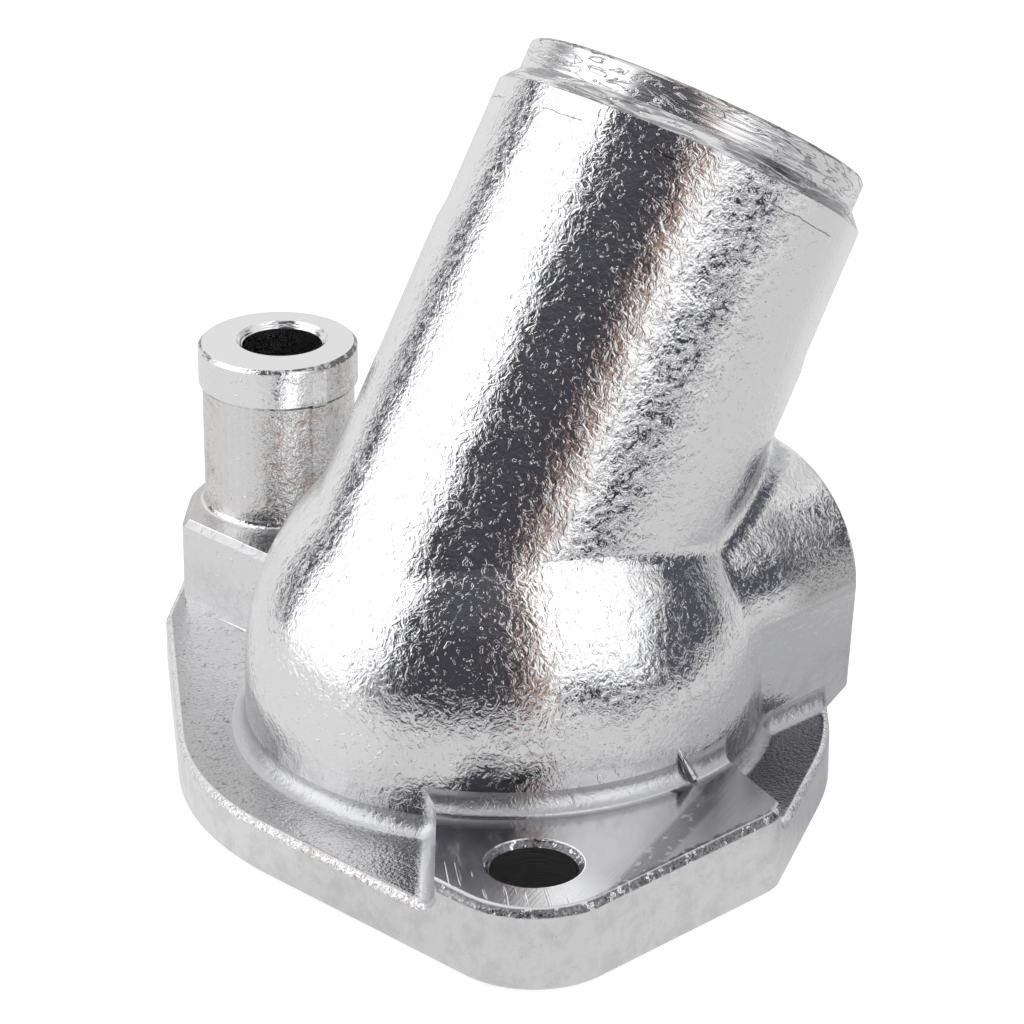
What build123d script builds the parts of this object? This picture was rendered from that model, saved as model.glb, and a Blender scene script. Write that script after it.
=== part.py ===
"""Engine coolant outlet, a one-piece aluminium casting.

Millimetres. The origin is the centre of the thermostat seat on the gasket face, +Z points
away from the engine, and +X is the way that the hose neck leans.
"""

import os
from math import cos, radians, sin

from build123d import *

# Flange plate
plate_height = 5.6
plate_radius = 33.7  # round part of the rim, about the seat
rim_round = 0.9  # upper edge, at the mould's joint
face_edge = 0.4  # broken edge of the gasket face
corner_centre = (-1.0, -34.2)  # blunt corner beside the front pad
corner_radius = 4.0
shoulder_centre = (-4.7, 38.4)  # blunt corner in front of the tall boss
shoulder_radius = 6.0

# Bolts, both M8
bolt_hole_radius = 4.3
bolt_sink_radius = 4.95  # mouth of each hole after the countersink
front_bolt = (-24.2, -28.4)
front_ear_radius = 9.5
rear_bolt = (6.9, 40.6)

# Raised pad round the front bolt
pad_height = 8.75
pad_wall_angle = 45.0  # run of the wall on the pad's left
pad_end_foot = (1.1, -38.4)  # the pad's right end, at the rim
pad_end_top = (3.6, -30.3)  # and at the bulb

# Tall boss for the long bolt, on its block
boss_centre = (6.1, 40.4)
ear_radius = 11.0
block_radius = 10.0
block_height = 15.5
block_front = -5.5
block_corner_radius = 1.0
block_corner_y = 43.1
block_edge = 0.7  # its bevelled upper edge
boss_radius = 8.2
boss_cap_radius = 8.6
boss_cap_base = 29.6
boss_height = 33.9
boss_edge = 0.4  # broken by the facing cut on top

# Bulb over the thermostat
bulb_radius = 26.6
bulb_centre_height = 12.2
bulb_wall = 3.6
seat_radius = 27.1
seat_depth = 3.0

# Hose neck
neck_radius = 20.0
neck_lean = 34.3
neck_root_height = 23.4  # where its axis crosses the bulb's
neck_length = 50.0
neck_start = -8.0  # these are measured along the neck from that crossing
hose_start = 31.5  # below here a faint swelling stops the hose
hose_step = 0.25  # height of the swelling
hose_step_run = 2.0  # length of its slope
bore_start = -7.0  # where the bore is already in the bulb's hollow
land_radius = 18.5
land_length = 3.3
land_slope = 1.8  # length of the turned slope behind the land
neck_bore_radius = 16.5
neck_edge = 0.4

# Arched sensor boss, under the neck
arch_offset = -8.9
arch_height = 18.0
arch_radius = 13.2
arch_end = 30.0
arch_draft = 1.3  # how far the sides draw in at their foot
arch_edge = 0.8
under_start = (18.0, 0.0)  # slope under the part of the boss that overhangs the rim
under_end = (32.0, 7.6)
port_radius = 7.25  # drilled for an M16 x 1.5 thread
port_mouth_radius = 8.3
port_depth = 16.0
countersink_angle = 90.0  # of this hole and the bolts'

# Hollow rounds of the casting
neck_blend = 3.0  # where bulb, neck and arched boss run together
foot_round = 2.0  # where they stand on the plate

bulb_inner_radius = bulb_radius - bulb_wall
neck_root_radius = neck_radius + hose_step
inside_bulb = bulb_inner_radius / 2  # far enough in for a wall to end unseen
reach = plate_radius  # from near the rim, far enough to pass it or to end in the bulb
near = 0.01  # an edge this close to a surface lies on it
neck_plane = Plane(
    origin=(0, 0, neck_root_height),
    x_dir=(cos(radians(neck_lean)), 0, -sin(radians(neck_lean))),
    z_dir=(sin(radians(neck_lean)), 0, cos(radians(neck_lean))),
)


def level(edges, height):
    """The edges that lie flat at one height."""
    return edges.filter_by_position(Axis.Z, height - near, height + near)


def on_outline(edges, sketch):
    """The edges that lie over or under the outline of a sketch on the gasket face."""
    outline = sketch.wire()
    return [e for e in edges if outline.distance_to(Vector((e @ 0.5).X, (e @ 0.5).Y)) < near]


def on_bulb(p):
    middle = Vector(0, 0, min(p.Z, bulb_centre_height))
    return abs((p - middle).length - bulb_radius) < near


def on_neck(p):
    p = neck_plane.to_local_coords(p)
    return abs(Vector(p.X, p.Y).length - neck_root_radius) < near


def on_arch(p):
    if p.Z > arch_height:
        return abs(Vector(p.Y - arch_offset, p.Z - arch_height).length - arch_radius) < near
    half_width = arch_radius - arch_draft * (1 - p.Z / arch_height)
    return abs(abs(p.Y - arch_offset) - half_width) < near


with BuildPart() as outlet:
    # The plate is the hull of the round rim, the ears and the blunt corners
    with BuildSketch() as rim:
        with BuildLine():
            CenterArc((0, 0), plate_radius, 0, 360)
            CenterArc(front_bolt, front_ear_radius, 0, 360)
            CenterArc(corner_centre, corner_radius, 0, 360)
            CenterArc(shoulder_centre, shoulder_radius, 0, 360)
            CenterArc(boss_centre, ear_radius, 0, 360)
        make_hull()
    extrude(amount=plate_height)

    # The pad has the rim's own outline between its two end walls
    run = Vector(cos(radians(pad_wall_angle)), sin(radians(pad_wall_angle)))
    wall_foot = Vector(*front_bolt) + front_ear_radius * Vector(-run.Y, run.X)
    end_run = (Vector(*pad_end_top) - Vector(*pad_end_foot)).normalized()
    with BuildSketch():
        add(rim.sketch)
        with BuildLine():
            Polyline(
                wall_foot - reach * run,
                wall_foot + reach * run,
                Vector(*pad_end_top) + reach * end_run,
                Vector(*pad_end_foot) - reach * end_run,
                close=True,
            )
        make_face(mode=Mode.INTERSECT)
    extrude(amount=pad_height)

    # The block under the tall boss reaches in to the bulb
    with BuildSketch():
        with BuildLine():
            CenterArc(boss_centre, block_radius, 0, 360)
            CenterArc((block_front + block_corner_radius, block_corner_y), block_corner_radius, 0, 360)
            Line((block_front, inside_bulb), (boss_centre[0] + block_radius, inside_bulb))
        make_hull()
    extrude(amount=block_height)
    chamfer(level(outlet.edges(), block_height), block_edge)

    # The bulb is a short round wall with a dome on it
    with BuildSketch(Plane.XZ):
        with BuildLine():
            Polyline((bulb_radius, bulb_centre_height), (bulb_radius, 0), (0, 0), (0, bulb_centre_height))
            CenterArc((0, bulb_centre_height), bulb_radius, 0, 90)
            Line((0, bulb_centre_height), (0, bulb_centre_height + bulb_radius))
        make_face()
    revolve(axis=Axis.Z)

    # The neck is turned down to a land at its mouth
    land_start = neck_length - land_length
    with BuildSketch(Plane(neck_plane.origin, x_dir=neck_plane.x_dir, z_dir=-neck_plane.y_dir)):
        with BuildLine():
            Polyline(
                (0, neck_start),
                (neck_root_radius, neck_start),
                (neck_root_radius, hose_start - hose_step_run),
                (neck_radius, hose_start),
                (neck_radius, land_start - land_slope),
                (land_radius, land_start),
                (land_radius, neck_length - neck_edge),
                (land_radius - neck_edge, neck_length),
                (0, neck_length),
                close=True,
            )
        make_face()
    revolve(axis=Axis(neck_plane.origin, neck_plane.z_dir))

    # The arched boss draws in at its foot, and is cut back where it overhangs the rim
    with BuildPart(mode=Mode.PRIVATE) as arch:
        foot_half = arch_radius - arch_draft
        with BuildSketch(Plane.YZ):
            with BuildLine():
                Polyline(
                    (arch_offset - arch_radius, arch_height),
                    (arch_offset - foot_half, 0),
                    (arch_offset + foot_half, 0),
                    (arch_offset + arch_radius, arch_height),
                )
                CenterArc((arch_offset, arch_height), arch_radius, 0, 180)
            make_face()
        extrude(amount=arch_end)
        with BuildPart(mode=Mode.PRIVATE) as undercut:
            with BuildSketch(Plane.XZ):
                with BuildLine():
                    Polyline(under_start, under_end, (under_end[0], 0), close=True)
                make_face()
            extrude(amount=reach, both=True)
            extrude(rim.sketch, amount=under_end[1], mode=Mode.SUBTRACT)
        add(undercut.part, mode=Mode.SUBTRACT)
        fillet(arch.faces().sort_by(Axis.X)[-1].outer_wire().edges(), arch_edge)
    add(arch.part)

    # Bulb, neck and arched boss run together in one hollow round
    joins = [
        e
        for e in outlet.edges()
        if [f(e.position_at(0.5)) for f in (on_bulb, on_neck, on_arch)].count(True) > 1
    ]
    fillet(joins, neck_blend)

    # So do the feet of the walls on the plate and the pad
    wall_ends = (wall_foot + front_ear_radius * run, Vector(*pad_end_top))
    floor = level(outlet.edges(), plate_height)
    feet = [floor.sort_by_distance((spot.X, spot.Y, plate_height))[0] for spot in wall_ends]
    for e in outlet.edges():
        middle = e @ 0.5
        on_the_left = middle.X + middle.Y < 0
        under_arch = e in floor and on_arch(middle) and middle.Y < arch_offset
        if under_arch or (on_bulb(middle) and on_the_left and middle.Z < pad_height + near):
            feet.append(e)
    fillet(feet, foot_round)

    # The tall boss is a little wider from the mould's joint up
    with Locations((*boss_centre, 0)):
        Cylinder(boss_radius, boss_height, align=(Align.CENTER, Align.CENTER, Align.MIN))
    with Locations((*boss_centre, boss_cap_base)):
        cap_height = boss_height - boss_cap_base
        Cylinder(boss_cap_radius, cap_height, align=(Align.CENTER, Align.CENTER, Align.MIN))
    chamfer(level(outlet.edges(), boss_height), boss_edge)

    # The upper edges of plate and pad are rounded in one go, so that the pad's end walls stay sharp
    upper_edges = level(outlet.edges(), plate_height) + level(outlet.edges(), pad_height)
    fillet(on_outline(upper_edges, rim.sketch), rim_round)

    # The hollow inside: thermostat seat, bulb and neck
    with BuildSketch(Plane.XZ):
        with BuildLine():
            Polyline(
                (0, bulb_centre_height),
                (0, 0),
                (seat_radius, 0),
                (seat_radius, seat_depth),
                (bulb_inner_radius, seat_depth),
                (bulb_inner_radius, bulb_centre_height),
            )
            CenterArc((0, bulb_centre_height), bulb_inner_radius, 0, 90)
            Line((0, bulb_centre_height + bulb_inner_radius), (0, bulb_centre_height))
        make_face()
    revolve(axis=Axis.Z, mode=Mode.SUBTRACT)
    with BuildSketch(neck_plane.offset(bore_start)):
        Circle(neck_bore_radius)
    extrude(amount=neck_length - bore_start, mode=Mode.SUBTRACT)

    # Bolt holes, countersunk where they were drilled from
    with Locations((*front_bolt, pad_height), (*rear_bolt, boss_height)):
        CounterSinkHole(bolt_hole_radius, bolt_sink_radius, counter_sink_angle=countersink_angle)

    # The tapped hole in the arched boss opens into the bulb
    with Locations(Plane(origin=(arch_end, arch_offset, arch_height), z_dir=(1, 0, 0))):
        CounterSinkHole(
            port_radius, port_mouth_radius, depth=port_depth, counter_sink_angle=countersink_angle
        )

    # The gasket face is machined, and its outer edge broken
    chamfer(on_outline(level(outlet.edges(), 0), rim.sketch), face_edge)

outlet.part.label = "outlet_casting"
os.makedirs("parts", exist_ok=True)
export_step(outlet.part, "parts/outlet_casting.step")
print("outlet_casting", outlet.part.bounding_box().size)
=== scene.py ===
# %% [markdown]
# # A cast aluminium coolant outlet
#
# The part is one casting: a flange, a bulb over the thermostat, and a neck for the hose.
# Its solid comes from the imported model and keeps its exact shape. What is made here is
# everything that the solid leaves out: the skin of the casting, the marks of the tools,
# the fins that the mould leaves, the thread in the sensor port, and the studio round it.

from math import cos, pi, radians, sin

import bpy
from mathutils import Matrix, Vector


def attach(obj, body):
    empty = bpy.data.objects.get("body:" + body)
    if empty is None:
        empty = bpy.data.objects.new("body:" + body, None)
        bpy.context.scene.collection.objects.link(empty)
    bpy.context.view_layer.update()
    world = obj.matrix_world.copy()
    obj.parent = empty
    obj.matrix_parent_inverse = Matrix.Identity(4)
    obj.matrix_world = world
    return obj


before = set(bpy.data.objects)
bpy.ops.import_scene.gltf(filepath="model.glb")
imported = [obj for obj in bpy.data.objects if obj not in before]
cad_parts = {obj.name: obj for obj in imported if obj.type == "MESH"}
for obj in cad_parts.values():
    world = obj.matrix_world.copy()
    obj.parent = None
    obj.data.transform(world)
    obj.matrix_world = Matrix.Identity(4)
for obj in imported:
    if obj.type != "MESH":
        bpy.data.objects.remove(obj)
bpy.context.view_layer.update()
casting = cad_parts["outlet_casting"]

# %% [markdown]
# ## The camera
#
# The object fills the picture and was taken from a little under half a metre with a long lens,
# which keeps its vertical lines nearly parallel. A camera can be placed by hand until the
# outlines agree, but four known points of the object are enough to work its place out, and the
# result is written down here as one place and one line of sight.

# %% The camera
MM = 0.001
eye = Vector((-312.25, -313.51, 232.33)) * MM
sight = Vector((0.6424, 0.6424, -0.4179))

lens = bpy.data.cameras.new("camera")
lens.sensor_width = 36.0
lens.lens = 168.75
camera = bpy.data.objects.new("camera", lens)
camera.location = eye
camera.rotation_euler = sight.to_track_quat("-Z", "Y").to_euler()
bpy.context.scene.collection.objects.link(camera)
bpy.context.scene.camera = camera
bpy.context.scene.view_settings.view_transform = "Standard"
print("camera", round(eye.length, 3), "m away")


# %% [markdown]
# ## Small helpers for shader nodes
#
# A finish is a tree of nodes. Placing each with its links takes many lines, so small helpers do
# it. Each works on the tree in hand, which new_tree empties first: add makes any node, calc does
# sums on numbers, vector does sums on places and directions, and blend and mix_shaders put one
# colour or one finish in the place of another.

# %% Nodes and sums
def new_tree(owner):
    """Empties the shader of a material or of the world, for the other helpers to fill."""
    owner.use_nodes = True
    owner.node_tree.nodes.clear()
    return owner.node_tree


def add(kind, inputs, **settings):
    """A new node, with its inputs set to values or joined to other nodes' outputs."""
    node = tree.nodes.new(kind)
    for name, value in settings.items():
        setattr(node, name, value)
    for name, value in inputs.items():
        socket = node.inputs[name]
        if isinstance(value, bpy.types.NodeSocket):
            tree.links.new(value, socket)
        else:
            socket.default_value = value
    return node


def calc(operation, a, b=0.0, c=0.0):
    return add("ShaderNodeMath", {0: a, 1: b, 2: c}, operation=operation).outputs[0]


def vector(operation, a, b=(0, 0, 0), times=1.0):
    """A sum on places. A dot product, a length or a distance comes out as one number."""
    node = add("ShaderNodeVectorMath", {0: a, 1: b, 3: times}, operation=operation)
    is_number = operation in ("DOT_PRODUCT", "LENGTH", "DISTANCE")
    return node.outputs["Value" if is_number else "Vector"]


def blend(mask, a, b):
    """One colour where the mask is 0, the other where it is 1."""
    inputs = {"Factor": mask, "A": a, "B": b}
    return add("ShaderNodeMix", inputs, data_type="RGBA").outputs["Result"]


def mix_shaders(mask, a, b):
    return add("ShaderNodeMixShader", {0: mask, 1: a, 2: b}).outputs[0]


print("helpers for nodes ready")


# %% [markdown]
# A mask says where a finish lies: 1 there, 0 elsewhere, with a soft step between. Masks are
# multiplied to keep what they share, and the largest of several is taken to join them. Heights
# and distances are given in millimetres.

# %% Masks
def ramp_up(value, low, high):
    """0 below low and 1 above high."""
    spread = {"Value": value, "From Min": low, "From Max": high}
    return add("ShaderNodeMapRange", spread, interpolation_type="SMOOTHSTEP").outputs[0]


def without(mask):
    return calc("SUBTRACT", 1.0, mask)


def product(*masks):
    """Where all of some masks hold."""
    both = masks[0]
    for mask in masks[1:]:
        both = calc("MULTIPLY", both, mask)
    return both


def either(*masks):
    """Where any of some masks holds."""
    most = masks[0]
    for mask in masks[1:]:
        most = calc("MAXIMUM", most, mask)
    return most


def inside(value, low, high, soft):
    """1 between low and high."""
    return product(
        ramp_up(value, low - soft, low + soft), without(ramp_up(value, high - soft, high + soft))
    )


def above(value, low, high):
    return ramp_up(value, low * MM, high * MM)


def below(value, low, high):
    return without(above(value, low, high))


def between(value, low, high, soft):
    return inside(value, low * MM, high * MM, soft * MM)


print("helpers for masks ready")


# %% [markdown]
# ## The studio
#
# Bright metal shows hardly any colour of its own: it shows the room. On the photograph a dark
# stripe runs down the middle of the neck, where it mirrors the dark end of the room behind
# the camera, with white walls to both sides of it. Lamps could be placed to give the same
# stripes, but each would have a hard shape of its own. Here the room is painted on the world by
# direction, as soft panels: each has a range of degrees to the right of the camera, a range of
# degrees above the table, and a brightness. A later panel covers an earlier one. The camera
# itself sees plain white. Blender would also send light out from the brightest spots of the
# room, but soft panels have none, so that is turned off.

# %% The panels of the room
PLAIN_WALL = (0.84, 0.835, 0.83)
panels = [
    # name, right of the camera from and to, up from and to, soft edge, colour
    ("gap left of the left wall", (-128, -113), (-6, 26), 3.0, (0.10, 0.10, 0.12)),
    ("left wall", (-112, -56), (-1, 80), 5.0, (1.55, 1.55, 1.55)),
    ("dark end of the room", (-53, 12), (-2, 72), 2.5, (0.056, 0.055, 0.066)),
    ("upper part of the dark end", (-53, 12), (37, 72), 4.0, (0.09, 0.09, 0.105)),
    ("box beside the dark end", (-67, -50), (-6, 12), 5.0, (0.26, 0.26, 0.28)),
    ("warm wood beside it", (10, 20), (0, 60), 3.0, (0.36, 0.24, 0.20)),
    ("right wall", (20, 82), (0, 60), 4.0, (1.12, 1.12, 1.12)),
    ("upper part of the right wall", (24, 66), (24, 64), 8.0, (1.45, 1.45, 1.45)),
    ("things on the shelf", (25, 48), (0, 11), 2.0, (0.04, 0.04, 0.06)),
    ("shelf below the right wall", (46, 70), (-3, 6), 1.5, (0.04, 0.04, 0.06)),
    ("far right corner", (118, 145), (-12, 48), 6.0, (0.55, 0.55, 0.56)),
    ("door on the right", (71, 121), (-7, 20), 4.0, (0.085, 0.085, 0.105)),
    ("top of the door", (94, 121), (10, 35), 4.0, (0.085, 0.085, 0.105)),
    ("ceiling", (-181, 181), (72, 91), 6.0, (0.60, 0.60, 0.61)),
]


def paint_by_place(plain, panels, across, up):
    """Paints soft panels over a plain colour, each between two pairs of values."""
    colour = plain + (1,)
    for name, span, rise, soft, shade in panels:
        mask = product(inside(across, *span, soft), inside(up, *rise, soft))
        colour = blend(mask, colour, shade + (1,))
        colour.node.label = name
    return colour


def degrees_right(place):
    """How many degrees to the right of the camera a direction or a place lies."""
    right = vector("DOT_PRODUCT", place, (0.7071, -0.7071, 0.0))
    front = vector("DOT_PRODUCT", place, (-0.7071, -0.7071, 0.0))
    return calc("DEGREES", calc("ARCTAN2", right, front))


print("room with", len(panels), "panels")

# %% The room that the metal mirrors
UP = (0, 0, 1)
room = bpy.data.worlds.new("studio")
room.cycles.sampling_method = "NONE"
bpy.context.scene.world = room
tree = new_tree(room)
way = add("ShaderNodeTexCoord", {}).outputs["Generated"]
height = calc("DEGREES", calc("ARCSINE", vector("DOT_PRODUCT", way, UP)))
walls = paint_by_place(PLAIN_WALL, panels, degrees_right(way), height)
light = add("ShaderNodeBackground", {"Color": walls, "Strength": 1.0})
plain = add("ShaderNodeBackground", {"Color": (1, 1, 1, 1), "Strength": 1.0})
path = add("ShaderNodeLightPath", {})
split = mix_shaders(path.outputs["Is Camera Ray"], light.outputs[0], plain.outputs[0])
add("ShaderNodeOutputWorld", {"Surface": split})
print("world", room.name, "with", len(tree.nodes), "nodes")

# %% [markdown]
# The table is a round white sheet. It has to look white to the camera, yet keep the shadow
# under the casting, so a glow is added to white paint there, and only round the casting: no
# light gets in under it, where the bolt holes show the table. The sheet is lit from the left.
# The metal doesn't mirror that light: it mirrors a glow with painted light and shade, bright on
# the left, with painted shade towards the dark end of the room, a painted shadow of the casting
# on the right, and painted near black under the casting.

# %% The table sheet
TABLE_RADIUS = 300
TABLE_DROP = 0.2
bpy.ops.object.select_all(action="DESELECT")
bpy.ops.mesh.primitive_circle_add(
    vertices=96, radius=TABLE_RADIUS * MM, fill_type="NGON", location=(0, 0, -TABLE_DROP * MM)
)
table = bpy.context.object
table.name = "table_sheet"
bpy.ops.object.transform_apply(location=True, rotation=True, scale=True)
print("table sheet", [round(side, 2) for side in table.dimensions])

# %% What the metal sees of the table
FRONT_BOLT = Vector((-24.2, -28.4, 0.0)) * MM
REAR_BOLT = Vector((6.9, 40.6, 0.0)) * MM
WHITE_SHEET = (0.78, 0.775, 0.77, 1)
PAINTED_SHADE_SHEET = (0.665, 0.662, 0.661, 1)
SHADED_SHEET = (0.44, 0.44, 0.45, 1)
SHADE_UNDER_CASTING_SHEET = (0.02, 0.02, 0.02, 1)

paper = bpy.data.materials.new("table_paper")
tree = new_tree(paper)
spot = add("ShaderNodeTexCoord", {}).outputs["Object"]
from_middle = vector("LENGTH", spot)
bearing = degrees_right(spot)
covered = either(
    below(from_middle, 32, 33),
    below(vector("DISTANCE", spot, FRONT_BOLT), 7, 8),
    below(vector("DISTANCE", spot, REAR_BOLT), 7, 8),
)
in_shadow = product(inside(bearing, 60, 165, 14.0), below(from_middle, 55, 95))
# Painted shade, a painted shadow of the casting and painted black under it, as the metal sees them.
sheet = blend(inside(bearing, -46, 120, 14.0), WHITE_SHEET, PAINTED_SHADE_SHEET)
sheet = blend(in_shadow, sheet, SHADED_SHEET)
sheet = blend(covered, sheet, SHADE_UNDER_CASTING_SHEET)
print("table with", len(tree.nodes), "nodes so far")

# %% The paper
GLOW = 0.62
path = add("ShaderNodeLightPath", {})
glow = product(path.outputs["Is Camera Ray"], without(covered), GLOW)
paint = add("ShaderNodeBsdfDiffuse", {"Color": (0.8, 0.8, 0.8, 1)})
shine = add("ShaderNodeEmission", {"Color": (1, 1, 1, 1), "Strength": glow})
lit = add("ShaderNodeAddShader", {0: paint.outputs[0], 1: shine.outputs[0]})
mirrored = add("ShaderNodeEmission", {"Color": sheet, "Strength": 1.0})
paper_mix = mix_shaders(path.outputs["Is Glossy Ray"], lit.outputs[0], mirrored.outputs[0])
add("ShaderNodeOutputMaterial", {"Surface": paper_mix})
table.data.materials.append(paper)
print("paper on", table.name)

# %% [markdown]
# ## Where each finish lies
#
# One casting has several finishes. The machined places are the top of the pad and of the tall
# boss, the land and the slope at the mouth, the holes and the gasket face. Faces that lie flat
# in the mould, and the outside of both bosses, came out grained, and the rest is smooth. A face
# could be given its finish by hand, but the solid is loose triangles, so each finish is found by
# its place: by its height, by how far along the neck it lies, or by how far from a bolt.

# %% Measures of a place on the casting
PLATE_TOP = 5.6
PAD_TOP = 8.75
BLOCK_TOP = 15.5
CAP_FROM = 29.6
BOSS_TOP = 33.9
NECK_LEAN = radians(34.3)
NECK_ROOT = Vector((0.0, 0.0, 23.4)) * MM
NECK_WAY = Vector((sin(NECK_LEAN), 0.0, cos(NECK_LEAN)))
SLOPE_FROM = 44.9
LAND_FROM = 46.7
MOUTH = 50.0

metal = bpy.data.materials.new("cast_aluminium_bright")
tree = new_tree(metal)
texture = add("ShaderNodeTexCoord", {})
place = texture.outputs["Object"]
x, y, z = add("ShaderNodeSeparateXYZ", {0: place}).outputs
lift = vector("DOT_PRODUCT", texture.outputs["Normal"], UP)
facing_up = ramp_up(lift, 0.90, 0.98)
from_root = vector("SUBTRACT", place, NECK_ROOT)
along_neck = vector("DOT_PRODUCT", from_root, NECK_WAY)
from_neck_axis = vector("LENGTH", vector("CROSS_PRODUCT", from_root, NECK_WAY))
level = vector("MULTIPLY", place, (1, 1, 0))
from_bulb_axis = vector("LENGTH", level)
from_front_bolt = vector("DISTANCE", level, FRONT_BOLT)
from_rear_bolt = vector("DISTANCE", level, REAR_BOLT)
print("measures ready")

# %% Machined places
by_boss = below(from_rear_bolt, 8.9, 9.1)
pad_face = product(between(z, PAD_TOP - 0.1, PAD_TOP + 0.1, 0.05), facing_up)
boss_face = product(above(z, BOSS_TOP - 0.1, BOSS_TOP - 0.05), facing_up, by_boss)
gasket_face = below(z, 0.02, 0.1)
milled = either(pad_face, boss_face, gasket_face)

outside = above(from_neck_axis, 16.6, 16.9)
slope = product(between(along_neck, SLOPE_FROM, LAND_FROM, 0.12), outside)
land = product(above(along_neck, LAND_FROM - 0.1, LAND_FROM + 0.1), outside)
turned = either(slope, land)

drilled = either(below(from_rear_bolt, 5.0, 5.1), below(from_front_bolt, 5.0, 5.1))
print("machined places ready")

# %% Grained and smooth places
plate_face = product(between(z, PLATE_TOP - 0.3, PLATE_TOP + 0.3, 0.1), facing_up)
block_face = product(between(z, BLOCK_TOP - 0.3, BLOCK_TOP + 0.3, 0.1), facing_up)
boss_side = product(by_boss, above(z, BLOCK_TOP - 0.2, BLOCK_TOP + 0.4))
arch_top = product(above(x, 17, 23), above(z, 17, 19), below(along_neck, 14, 17))
grained = either(plate_face, block_face, boss_side, arch_top)

by_block = above(y, 24, 26)
block_side = product(by_block, between(z, PLATE_TOP + 1.0, BLOCK_TOP - 0.1, 0.2))
bevelled = inside(lift, 0.2, 0.95, 0.05)
block_edge = product(by_block, between(z, BLOCK_TOP - 0.75, BLOCK_TOP - 0.05, 0.05), bevelled)
upright = without(ramp_up(lift, 0.5, 0.8))
low = below(z, 9, 14)
lowest = below(z, 14.0, 14.1)
print("cast places ready")


# %% Rims and feet
def rim_below(top):
    """The rounded edge, 0.9 mm high, below a level top."""
    return between(z, top - 0.9, top - 0.05, 0.1)


def foot_above(floor):
    """The hollow round, 2 mm high, above a level floor."""
    return between(z, floor + 0.1, floor + 2.1, 0.1)


sloping = inside(lift, 0.12, 0.93, 0.08)
rims = product(either(rim_below(PLATE_TOP), rim_below(PAD_TOP)), sloping)
pad_rim = product(rims, above(z, 7.5, 7.8))
boss_rim = product(between(z, BOSS_TOP - 0.5, BOSS_TOP - 0.04, 0.05), sloping)
feet = product(either(foot_above(PLATE_TOP), foot_above(PAD_TOP)), inside(lift, 0.06, 0.97, 0.03))
print("rims and feet ready")


# %% [markdown]
# ## How a finish is made
#
# Each finish is a mirror with a slight blue cast, a stack of bumps, and coats of colour. The
# grains could be modelled, but at this size that would take millions of faces. A bump needs the
# height of its grains in millimetres, and it bends the light by how steep they are, so a grain
# half as long wants half the height. A mask turns a bump or a coat down to nothing.

# %% Bumps, coats and grains
BRIGHT = (0.87, 0.872, 0.882)


def finish(roughness, colour, layers):
    """Metal with layers of bumps, each a height, its size in millimetres and its mask."""
    surface = {"Metallic": 1.0, "Roughness": roughness, "Base Color": colour}
    for height, size, mask in layers:
        layer = {"Height": height, "Distance": size * MM, "Strength": mask}
        if "Normal" in surface:
            layer["Normal"] = surface["Normal"]
        surface["Normal"] = add("ShaderNodeBump", layer).outputs[0]
    return add("ShaderNodeBsdfPrincipled", surface).outputs[0]


def coated(bare, coats):
    """The colour of bare metal with coats over it, each a mask and a shade of its own."""
    colour = bare + (1,)
    for mask, shade in coats:
        colour = blend(mask, colour, shade + (1,))
    return colour


def noise(scale, detail=1.0, roughness=0.5, distortion=0.0, at=place):
    """Grains, as many in a metre as the scale says."""
    shape = {"Scale": scale, "Detail": detail, "Roughness": roughness, "Distortion": distortion}
    return add("ShaderNodeTexNoise", {"Vector": at} | shape).outputs[0]


def patches(low, high, *grains):
    """Grains that are cut off at a level, so that only their tops are left."""
    return ramp_up(noise(*grains), low, high)


swells = noise(190.0)
fine_grain = noise(5200.0)
mottle = patches(0.40, 0.66, 420.0, 4.0, 0.7)
oxide = patches(0.50, 0.68, 330.0, 2.0, 0.6)
dirt = patches(0.60, 0.68, 1500.0, 2.0, 0.6, 1.5)
speck_free = without(patches(0.58, 0.62, 1100.0, 2.0, 0.6))
wander = calc("MULTIPLY_ADD", noise(420.0, 3.0, 0.7), 0.9 * MM, along_neck)
print("helpers and", len(tree.nodes), "nodes")

# %% [markdown]
# ## The cast skin
#
# Aluminium that was cast in a steel mould and tumbled bright is smooth but never flat. Four
# sizes of unevenness show in its reflections: slow swells a few millimetres long, wrinkles
# of about a millimetre where the metal froze against the mould, small pits and dents that flash
# in the dark stripe, and fine grains. The neck swells a little where the hose stops. Low down,
# round the flange, the tumbling reached less well, and the walls are coarser and mottled.

# %% Smooth skin
SKIN_DULL = 0.06
FOOT_DULL = 0.34
EDGE_GREY = (0.62, 0.62, 0.63)
SIDE_GREY = (0.66, 0.66, 0.67)
BURNT = (0.20, 0.13, 0.12)
END_GREY = (0.35, 0.34, 0.35)

along_swelling = {"Value": along_neck, "From Min": 29.5 * MM, "From Max": 31.5 * MM}
swelling = add("ShaderNodeMapRange", along_swelling).outputs[0]
wrinkled = calc("MULTIPLY_ADD", above(z, 9, 15), 0.55, 0.45)
skin = [
    (swells, 0.16, 1.0),
    (noise(900.0, 3.0, 0.55, 1.6), 0.080, wrinkled),
    (patches(0.66, 0.71, 1900.0, 1.0, 0.5, 0.6), 0.018, wrinkled),
    (patches(0.68, 0.71, 800.0, 1.0, 0.5, 1.2), 0.040, wrinkled),
    (fine_grain, 0.006, 1.0),
]
witness = product(between(wander, 43.0, 43.12, 0.05), patches(0.50, 0.55, 120.0))
mouth_end = above(along_neck, MOUTH - 0.3, MOUTH - 0.1)
skin_coats = [
    (block_edge, EDGE_GREY),
    (product(block_side, 0.25), SIDE_GREY),
    (product(mouth_end, 0.6), END_GREY),
    (product(witness, 0.9), BURNT),
]
skin_dull = either(product(either(feet, block_edge), FOOT_DULL), SKIN_DULL)
high_skin = finish(skin_dull, coated(BRIGHT, skin_coats), [(swelling, 0.20, 1.0)] + skin)
print(len(skin), "layers on the smooth skin")

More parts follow.
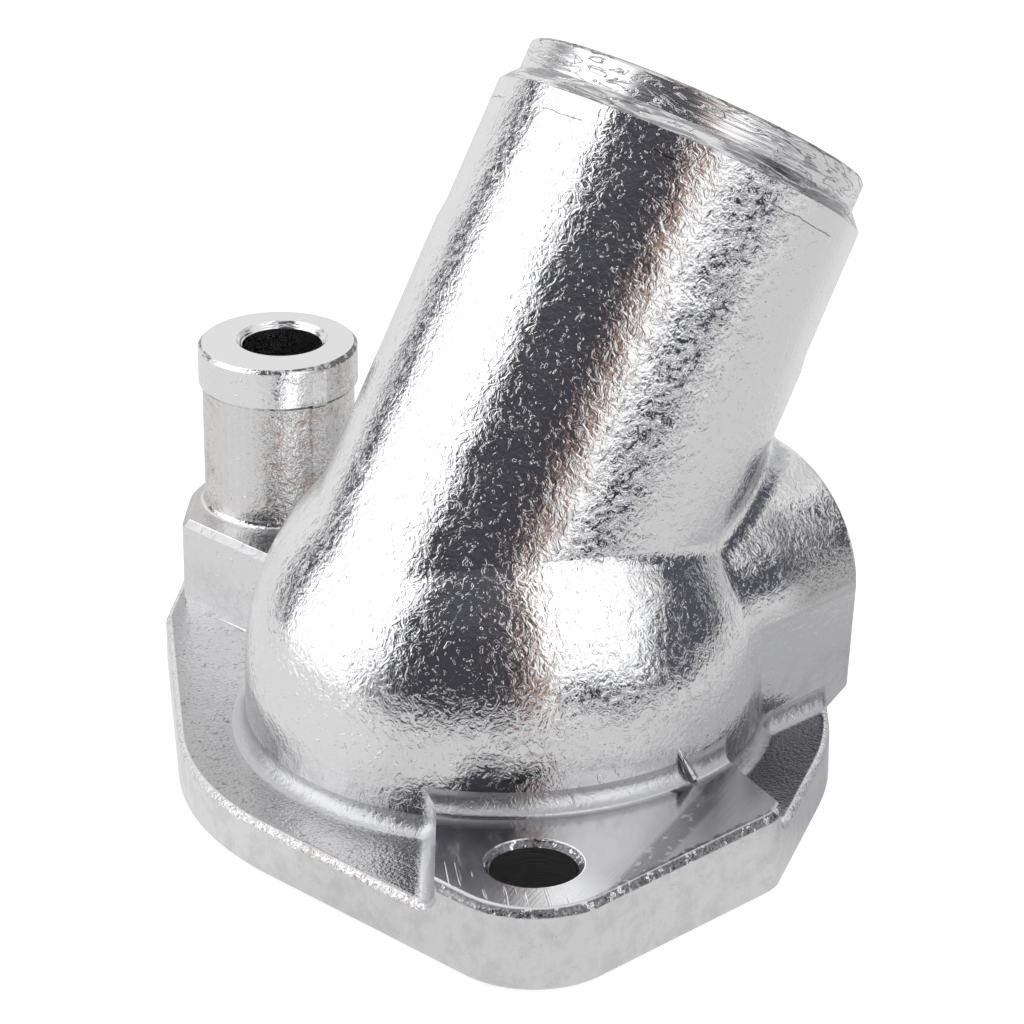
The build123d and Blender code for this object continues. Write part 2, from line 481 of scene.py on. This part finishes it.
# %% Low walls, rims and feet
FOOT_GREY = (0.62, 0.625, 0.65)
MOTTLE_GREY = (0.66, 0.655, 0.66)
OXIDE = (0.62, 0.50, 0.46)
DIRT = (0.16, 0.15, 0.16)
GAP_DARK = (0.13, 0.13, 0.15)

rim_coats = [
    (product(rims, oxide, 0.5), OXIDE),
    (product(rims, dirt, 0.75), DIRT),
    (product(pad_rim, speck_free, 0.85), GAP_DARK),
]
rim_grain = noise(1500.0, 2.0, 0.6, 1.5)
mottled = (product(mottle, low, upright, 0.5), MOTTLE_GREY)
low_coats = [(feet, FOOT_GREY)] + skin_coats + rim_coats + [mottled]
low_layers = [(noise(700.0, 3.0, 0.65, 0.8), 0.10, low), (rim_grain, 0.22, rims)]
low_skin = finish(skin_dull, coated(BRIGHT, low_coats), skin + low_layers)
print("low skin with", len(skin + low_layers), "layers")

# %% [markdown]
# The faces that lie flat in the mould and the outside of both bosses froze first, and tumbling
# didn't reach them well. They are finely grained and give back less light. Thin brown oxide lies
# in patches on the tall boss, and grey dirt sits in the deepest grains and along its upper edge,
# which also has dark ragged patches. Under its wider top lies a thin line of painted shade. Each
# of these is a coat of its own, so that it can be turned up alone.

# %% Grained skin
ROUGH_DULL = 0.20
ROUGH_GREY = (0.62, 0.615, 0.615)
PLATE_GREY = (0.49, 0.49, 0.50)
BULB_REFLECTION_GREY = (0.33, 0.33, 0.345)
BOSS_GREY = (0.80, 0.79, 0.785)
RIM_AND_SHADE_DARK = (0.13, 0.12, 0.12)
ARCH_SHADE = (0.15, 0.15, 0.165)

# Painted reflection of the bulb: the plate darker close in front of it.
bulb_reflection_on_plate = product(plate_face, below(y, -12, 2), below(from_bulb_axis, 29, 32.5))
ragged_rim = product(above(z, BOSS_TOP - 0.65, BOSS_TOP - 0.45), patches(0.44, 0.52, 420.0, 3.0, 0.7))
# Painted shade: a thin dark line under the wider top of the tall boss.
shade_under_cap = product(between(z, CAP_FROM - 0.45, CAP_FROM + 0.02, 0.05), patches(0.40, 0.47, 160.0, 2.0))
boss_rim_and_cap_shade = product(boss_side, either(ragged_rim, shade_under_cap), speck_free)
under_arch = product(plate_face, above(x, 2, 8), below(y, -14, -8))
rough_colour = coated(
    ROUGH_GREY,
    [
        (plate_face, PLATE_GREY),
        (bulb_reflection_on_plate, BULB_REFLECTION_GREY),
        (boss_side, BOSS_GREY),
        (product(oxide, boss_side, 0.5), OXIDE),
        (product(dirt, either(boss_rim, plate_face, product(boss_side, 0.6)), 0.75), DIRT),
        # Dark ragged patches on the boss's upper edge, and the painted shade under its top.
        (product(boss_rim_and_cap_shade, 0.85), RIM_AND_SHADE_DARK),
        (product(under_arch, 0.8), ARCH_SHADE),
    ],
)
rough_layers = [
    (swells, 0.16, 1.0),
    (noise(2300.0, 2.0, 0.6), 0.11, 1.0),
    (noise(1300.0, 2.0, 0.6, 0.8), 0.16, either(arch_top, boss_side)),
    (fine_grain, 0.006, 1.0),
    (rim_grain, 0.22, product(boss_rim, boss_side)),
]
rough_skin = finish(ROUGH_DULL, rough_colour, rough_layers)
print("grained skin with", len(rough_layers), "layers")

# %% [markdown]
# ## The machined places
#
# A milling cutter leaves straight lines in a plane, a lathe rings round the neck, and a drill
# rings down a hole. All three are one noise, squeezed along one direction so that its grains
# turn into lines. The mouth was cut where the skin is rough and broke out here and there, which
# shows as patches with a sharp edge, and a thin burr stands where the cut ends.

# %% Milled faces
CUT_DULL = 0.15
MILL_WAY = Vector((0.35, -0.94, 0.0))
SCRATCH_WAY = Vector((0.80, -0.60, 0.0))
PAD_ACROSS = (0.332, -0.943, 0.0)
PAD_SHADE_GREY = (0.44, 0.44, 0.455)
STRIP_AND_SHADOW_DARK = (0.14, 0.14, 0.16)


def squeezed(direction, across, along):
    """Places measured finely along one direction and coarsely along the others."""
    step = calc("MULTIPLY", vector("DOT_PRODUCT", from_root, direction), across)
    return vector("ADD", vector("SCALE", place, times=along), vector("SCALE", direction, times=step))


ragged = calc("MULTIPLY_ADD", noise(520.0, 3.0, 0.7), 2.6 * MM, y)
front_strip = product(below(ragged, -36.1, -35.7), above(x, -27, -24))
across_pad = vector("DOT_PRODUCT", place, PAD_ACROSS)
shadow_side = product(between(across_pad, 27.5, 29.9, 0.35), below(x, -5, -1))
pad_strip_and_shadow = product(pad_face, either(front_strip, product(shadow_side, 0.75)), speck_free)
milled_colour = coated(
    BRIGHT,
    [
        # Painted shade: the pad darker towards its right.
        (product(pad_face, above(x, -29, -20)), PAD_SHADE_GREY),
        # A dark ragged strip at the front of the pad, and a painted shadow in a band on it.
        (product(pad_strip_and_shadow, 0.8), STRIP_AND_SHADOW_DARK),
    ],
)
scratches = patches(0.60, 0.66, 1.0, 1.0, 0.5, 0.6, squeezed(SCRATCH_WAY, 1500.0, 90.0))
milled_layers = [
    (noise(1.0, 2.0, 0.5, 0.0, squeezed(MILL_WAY, 3000.0, 120.0)), 0.012, 1.0),
    (scratches, 0.02, product(pad_face, below(x, -30, -24))),
]
milled_metal = finish(CUT_DULL, milled_colour, milled_layers)
print("milled faces with", len(milled_layers), "layers")

# %% The turned mouth
LAND_DULL = 0.24
STREAK_GREY = (0.40, 0.40, 0.42)

rings = noise(1.0, 2.0, 0.6, 0.4, squeezed(NECK_WAY, 2600.0, 160.0))
broken = patches(0.50, 0.56, 1.0, 3.0, 0.6, 1.2, squeezed(NECK_WAY, 500.0, 170.0))
streaks = patches(0.44, 0.58, 1.0, 3.0, 0.6, 1.2, squeezed(NECK_WAY, 700.0, 120.0))
burr_line = either(between(wander, 45.25, 45.42, 0.05), between(wander, 50.1, 50.3, 0.05))
burr = product(burr_line, patches(0.42, 0.50, 260.0))
turned_colour = coated(
    BRIGHT,
    [
        (product(slope, without(streaks)), STREAK_GREY),
        (product(mouth_end, 0.6), END_GREY),
        (product(burr, 0.8), BURNT),
    ],
)
turned_layers = [
    (swells, 0.16, 1.0),
    (rings, 0.07, 1.0),
    (broken, 0.26, land),
    (broken, 0.12, slope),
    (burr, 0.05, 1.0),
]
turned_metal = finish(either(product(land, LAND_DULL), CUT_DULL), turned_colour, turned_layers)
print("turned mouth with", len(turned_layers), "layers")

# %% The bolt holes
rear_cone = above(z, BOSS_TOP - 0.8, BOSS_TOP - 0.6)
front_cone = between(z, PAD_TOP - 0.75, PAD_TOP + 0.05, 0.1)
cone_rings = noise(1.0, 2.0, 0.5, 0.5, squeezed(Vector(UP), 2000.0, 260.0))
wall_rings = noise(1.0, 2.0, 0.5, 0.5, squeezed(Vector(UP), 2400.0, 260.0))
drilled_layers = [
    (rim_grain, 0.22, rims),
    (cone_rings, 0.20, either(rear_cone, front_cone)),
    (wall_rings, 0.04, 1.0),
]
drilled_metal = finish(CUT_DULL, coated(BRIGHT, rim_coats), drilled_layers)
print("bolt holes with", len(drilled_layers), "layers")

# %% [markdown]
# The hole in the arched boss is tapped M16 x 1.5. A thread could be cut as a solid groove, but a
# groove that fine needs very many faces for a place that is hardly seen. It climbs 1.5 mm in
# each turn, so its height at a place depends on two things only: how deep in the hole the
# place lies, and its angle round the hole. Their sum, counted in turns, is folded to and fro
# between 0 and 1, which gives the flanks.

# %% The thread in the sensor port
PORT_PITCH = 1.5
PORT_MIDDLE = Vector((0.0, -8.9, 18.0)) * MM
THREAD_FROM, THREAD_TO = 14.0, 28.8

_, port_y, port_z = add("ShaderNodeSeparateXYZ", {0: vector("SUBTRACT", place, PORT_MIDDLE)}).outputs
from_port_axis = calc("SQRT", calc("ADD", calc("POWER", port_y, 2.0), calc("POWER", port_z, 2.0)))
angle = calc("DIVIDE", calc("ARCTAN2", port_z, port_y), 2 * pi)
turns = calc("ADD", angle, calc("DIVIDE", x, PORT_PITCH * MM))
flanks = calc("PINGPONG", turns, 0.5)
tapped = product(below(from_port_axis, 7.5, 7.55), between(x, THREAD_FROM, THREAD_TO, 0.1))
tapped_metal = finish(SKIN_DULL, coated(BRIGHT, []), skin + [(flanks, 1.4, 1.0)])
print("thread with", round((THREAD_TO - THREAD_FROM) / PORT_PITCH, 1), "turns")

# %% [markdown]
# ## All finishes in one metal
#
# The finishes could be seven materials on seven groups of faces. One material that mixes them is
# simpler to keep, and it can be laid on every piece. A mask that is 0 or 1 also saves time,
# because a finish that a place doesn't show isn't worked out there. The smooth skin high up
# covers most of the part, so it is asked for first, in the last mix of the chain.

# %% The metal
surface = mix_shaders(grained, low_skin, rough_skin)
surface = mix_shaders(tapped, surface, tapped_metal)
surface = mix_shaders(milled, surface, milled_metal)
surface = mix_shaders(turned, surface, turned_metal)
surface = mix_shaders(drilled, surface, drilled_metal)
elsewhere = calc("LESS_THAN", either(lowest, grained, tapped, milled, turned, drilled), 0.001)
surface = mix_shaders(elsewhere, surface, high_skin)
add("ShaderNodeOutputMaterial", {"Surface": surface})
casting.data.materials.clear()
casting.data.materials.append(metal)
print("metal on", casting.name, "with", len(tree.nodes), "nodes")

# %% [markdown]
# ## What the mould leaves
#
# The solid has sharp corners where its walls are too short for a round of their own. The real
# corners are filled by small hollow rounds. A ring round the foot of the tall boss starts as a
# tube with a wall, set into the block, and its upper outer edge is bevelled. A bevel whose
# profile is pushed below a quarter bends inwards, and that is the hollow.

# %% Helpers for new pieces
NEAR = 0.05
HOLLOW = 0.08


def start(adder, **settings):
    """A new simple shape, with its size and place put into its mesh."""
    bpy.ops.object.select_all(action="DESELECT")
    adder(**settings)
    bpy.ops.object.transform_apply(location=True, rotation=True, scale=True)
    return bpy.context.object


def select_where(piece, kind, test):
    """In edit mode: selects the vertices or edges whose middle passes a test, in millimetres."""
    bpy.ops.object.mode_set(mode="EDIT")
    bpy.ops.mesh.select_mode(type=kind)
    bpy.ops.mesh.select_all(action="DESELECT")
    bpy.ops.object.mode_set(mode="OBJECT")
    mesh = piece.data
    items = mesh.vertices if kind == "VERT" else mesh.edges
    for item in items:
        ends = [item.index] if kind == "VERT" else item.vertices
        middle = sum((mesh.vertices[end].co for end in ends), Vector()) / len(ends) / MM
        item.select = test(middle)
    bpy.ops.object.mode_set(mode="EDIT")


def dress(piece, name):
    """Ends the work on a piece: name, finish, and the casting that it belongs to."""
    bpy.ops.object.mode_set(mode="EDIT")
    bpy.ops.mesh.select_all(action="SELECT")
    bpy.ops.mesh.normals_make_consistent(inside=False)
    bpy.ops.object.mode_set(mode="OBJECT")
    bpy.ops.object.shade_smooth_by_angle(angle=radians(35))
    piece.name = name
    piece.data.materials.append(metal)
    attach(piece, "root")
    print(name, len(piece.data.polygons), "faces")


# %% The hollow round at the foot of the tall boss
BOSS_MIDDLE = Vector((6.1, 40.4, 0.0))
BOSS_RADIUS = 8.2
CAP_RADIUS = 8.6
ROUND = 0.8
SUNK = 0.1
WALL = 1.0


def from_boss_middle(p):
    return Vector((p.x, p.y, 0)) - BOSS_MIDDLE


ring_height = ROUND + SUNK
ring = start(
    bpy.ops.mesh.primitive_cylinder_add,
    vertices=96,
    radius=(BOSS_RADIUS + ROUND) * MM,
    depth=ring_height * MM,
    end_fill_type="NOTHING",
    location=(BOSS_MIDDLE + Vector((0, 0, BLOCK_TOP - SUNK + ring_height / 2))) * MM,
)
wall = ring.modifiers.new("wall", "SOLIDIFY")
wall.thickness = WALL * MM
wall.offset = -1.0
bpy.ops.object.modifier_apply(modifier="wall")
select_where(
    ring,
    "EDGE",
    lambda p: p.z > BLOCK_TOP + ROUND - NEAR
    and from_boss_middle(p).length > BOSS_RADIUS + ROUND - NEAR,
)
bpy.ops.mesh.bevel(offset=ROUND * MM, segments=6, profile=HOLLOW)
dress(ring, "boss_foot_round")

# %% [markdown]
# The block stands on the plate in the same kind of round. Its straight front wall needs a bar,
# and the bar's far end shrinks to nothing where the wall turns away.

# %% The hollow round at the foot of the block
BLOCK_FRONT = -5.5
BAR_FROM, BAR_TO = 24.0, 43.5
bar_middle = Vector((BLOCK_FRONT + SUNK, (BAR_FROM + BAR_TO) / 2, PLATE_TOP - SUNK))
bar_middle += Vector((-ring_height / 2, 0, ring_height / 2))
bar = start(
    bpy.ops.mesh.primitive_cube_add,
    size=1.0,
    scale=(ring_height * MM, (BAR_TO - BAR_FROM) * MM, ring_height * MM),
    location=bar_middle * MM,
)
select_where(
    bar,
    "EDGE",
    lambda p: p.x < BLOCK_FRONT - ROUND + NEAR
    and p.z > PLATE_TOP + ROUND - NEAR
    and abs(p.y - bar_middle.y) < NEAR,
)
bpy.ops.mesh.bevel(offset=ROUND * MM, segments=6, profile=HOLLOW)
select_where(bar, "VERT", lambda p: p.y > BAR_TO - NEAR)
bar_end = Vector((BLOCK_FRONT + SUNK, BAR_TO, PLATE_TOP - SUNK))
bpy.ops.transform.resize(value=(0.05, 1, 0.05), center_override=bar_end * MM)
dress(bar, "block_foot_round")

# %% [markdown]
# The mould of the tall boss opens along one line, and the metal creeps into the joint. It leaves
# an upright fin on the boss, flat and a little ragged, which steps out with the wider top. It
# could be drawn as an outline and extruded. Here a tall box is cut into short lengths, so that its
# outer face can be pinched, the part on the wider top moved out, and all of it shaken by a few
# hundredths of a millimetre.

# %% The fin on the tall boss
FIN_AT = -102
FIN_WIDTH, FIN_DEPTH = 2.0, 0.7
FIN_FROM, FIN_TO = 16.7, 33.3
fin_way = Vector((cos(radians(FIN_AT)), sin(radians(FIN_AT)), 0.0))
fin_middle = BOSS_MIDDLE + fin_way * (BOSS_RADIUS - SUNK) + Vector((0, 0, (FIN_FROM + FIN_TO) / 2))
fin = start(
    bpy.ops.mesh.primitive_cube_add,
    size=1.0,
    scale=(FIN_WIDTH * MM, FIN_DEPTH * MM, (FIN_TO - FIN_FROM) * MM),
    rotation=(0, 0, radians(FIN_AT + 90)),
    location=fin_middle * MM,
)
bpy.ops.object.mode_set(mode="EDIT")
bpy.ops.mesh.select_all(action="SELECT")
bpy.ops.mesh.subdivide(number_cuts=27)
select_where(fin, "VERT", lambda p: from_boss_middle(p).dot(fin_way) > BOSS_RADIUS)
pinch_at = BOSS_MIDDLE + fin_way * BOSS_RADIUS
bpy.ops.transform.resize(value=(0.75, 1, 1), center_override=pinch_at * MM)
select_where(fin, "VERT", lambda p: p.z > CAP_FROM)
bpy.ops.transform.translate(value=fin_way * (CAP_RADIUS - BOSS_RADIUS) * MM)
bpy.ops.mesh.select_all(action="SELECT")
bpy.ops.transform.vertex_random(offset=0.035 * MM, seed=4)
dress(fin, "boss_fin")

# %% [markdown]
# At the foot of the bulb, beside the pad, a small bead of metal stands where two parts of the
# mould met: a slim cone that leans with the wall and sinks into it at its tip. A plain cone would
# look turned, so it is cut into smaller faces and shaken too.

# %% The bead at the foot of the bulb
foot = Vector((-1.0, -27.5, 8.9)) * MM
tip = Vector((-1.9, -26.3, 12.2)) * MM
bead = start(
    bpy.ops.mesh.primitive_cone_add,
    vertices=16,
    radius1=0.75 * MM,
    radius2=0.12 * MM,
    depth=(tip - foot).length,
    location=(foot + tip) / 2,
    rotation=(tip - foot).to_track_quat("Z", "Y").to_euler(),
)
bpy.ops.object.mode_set(mode="EDIT")
bpy.ops.mesh.select_all(action="SELECT")
bpy.ops.mesh.subdivide(number_cuts=2)
bpy.ops.transform.vertex_random(offset=0.06 * MM, seed=2)
dress(bead, "bulb_foot_bead")
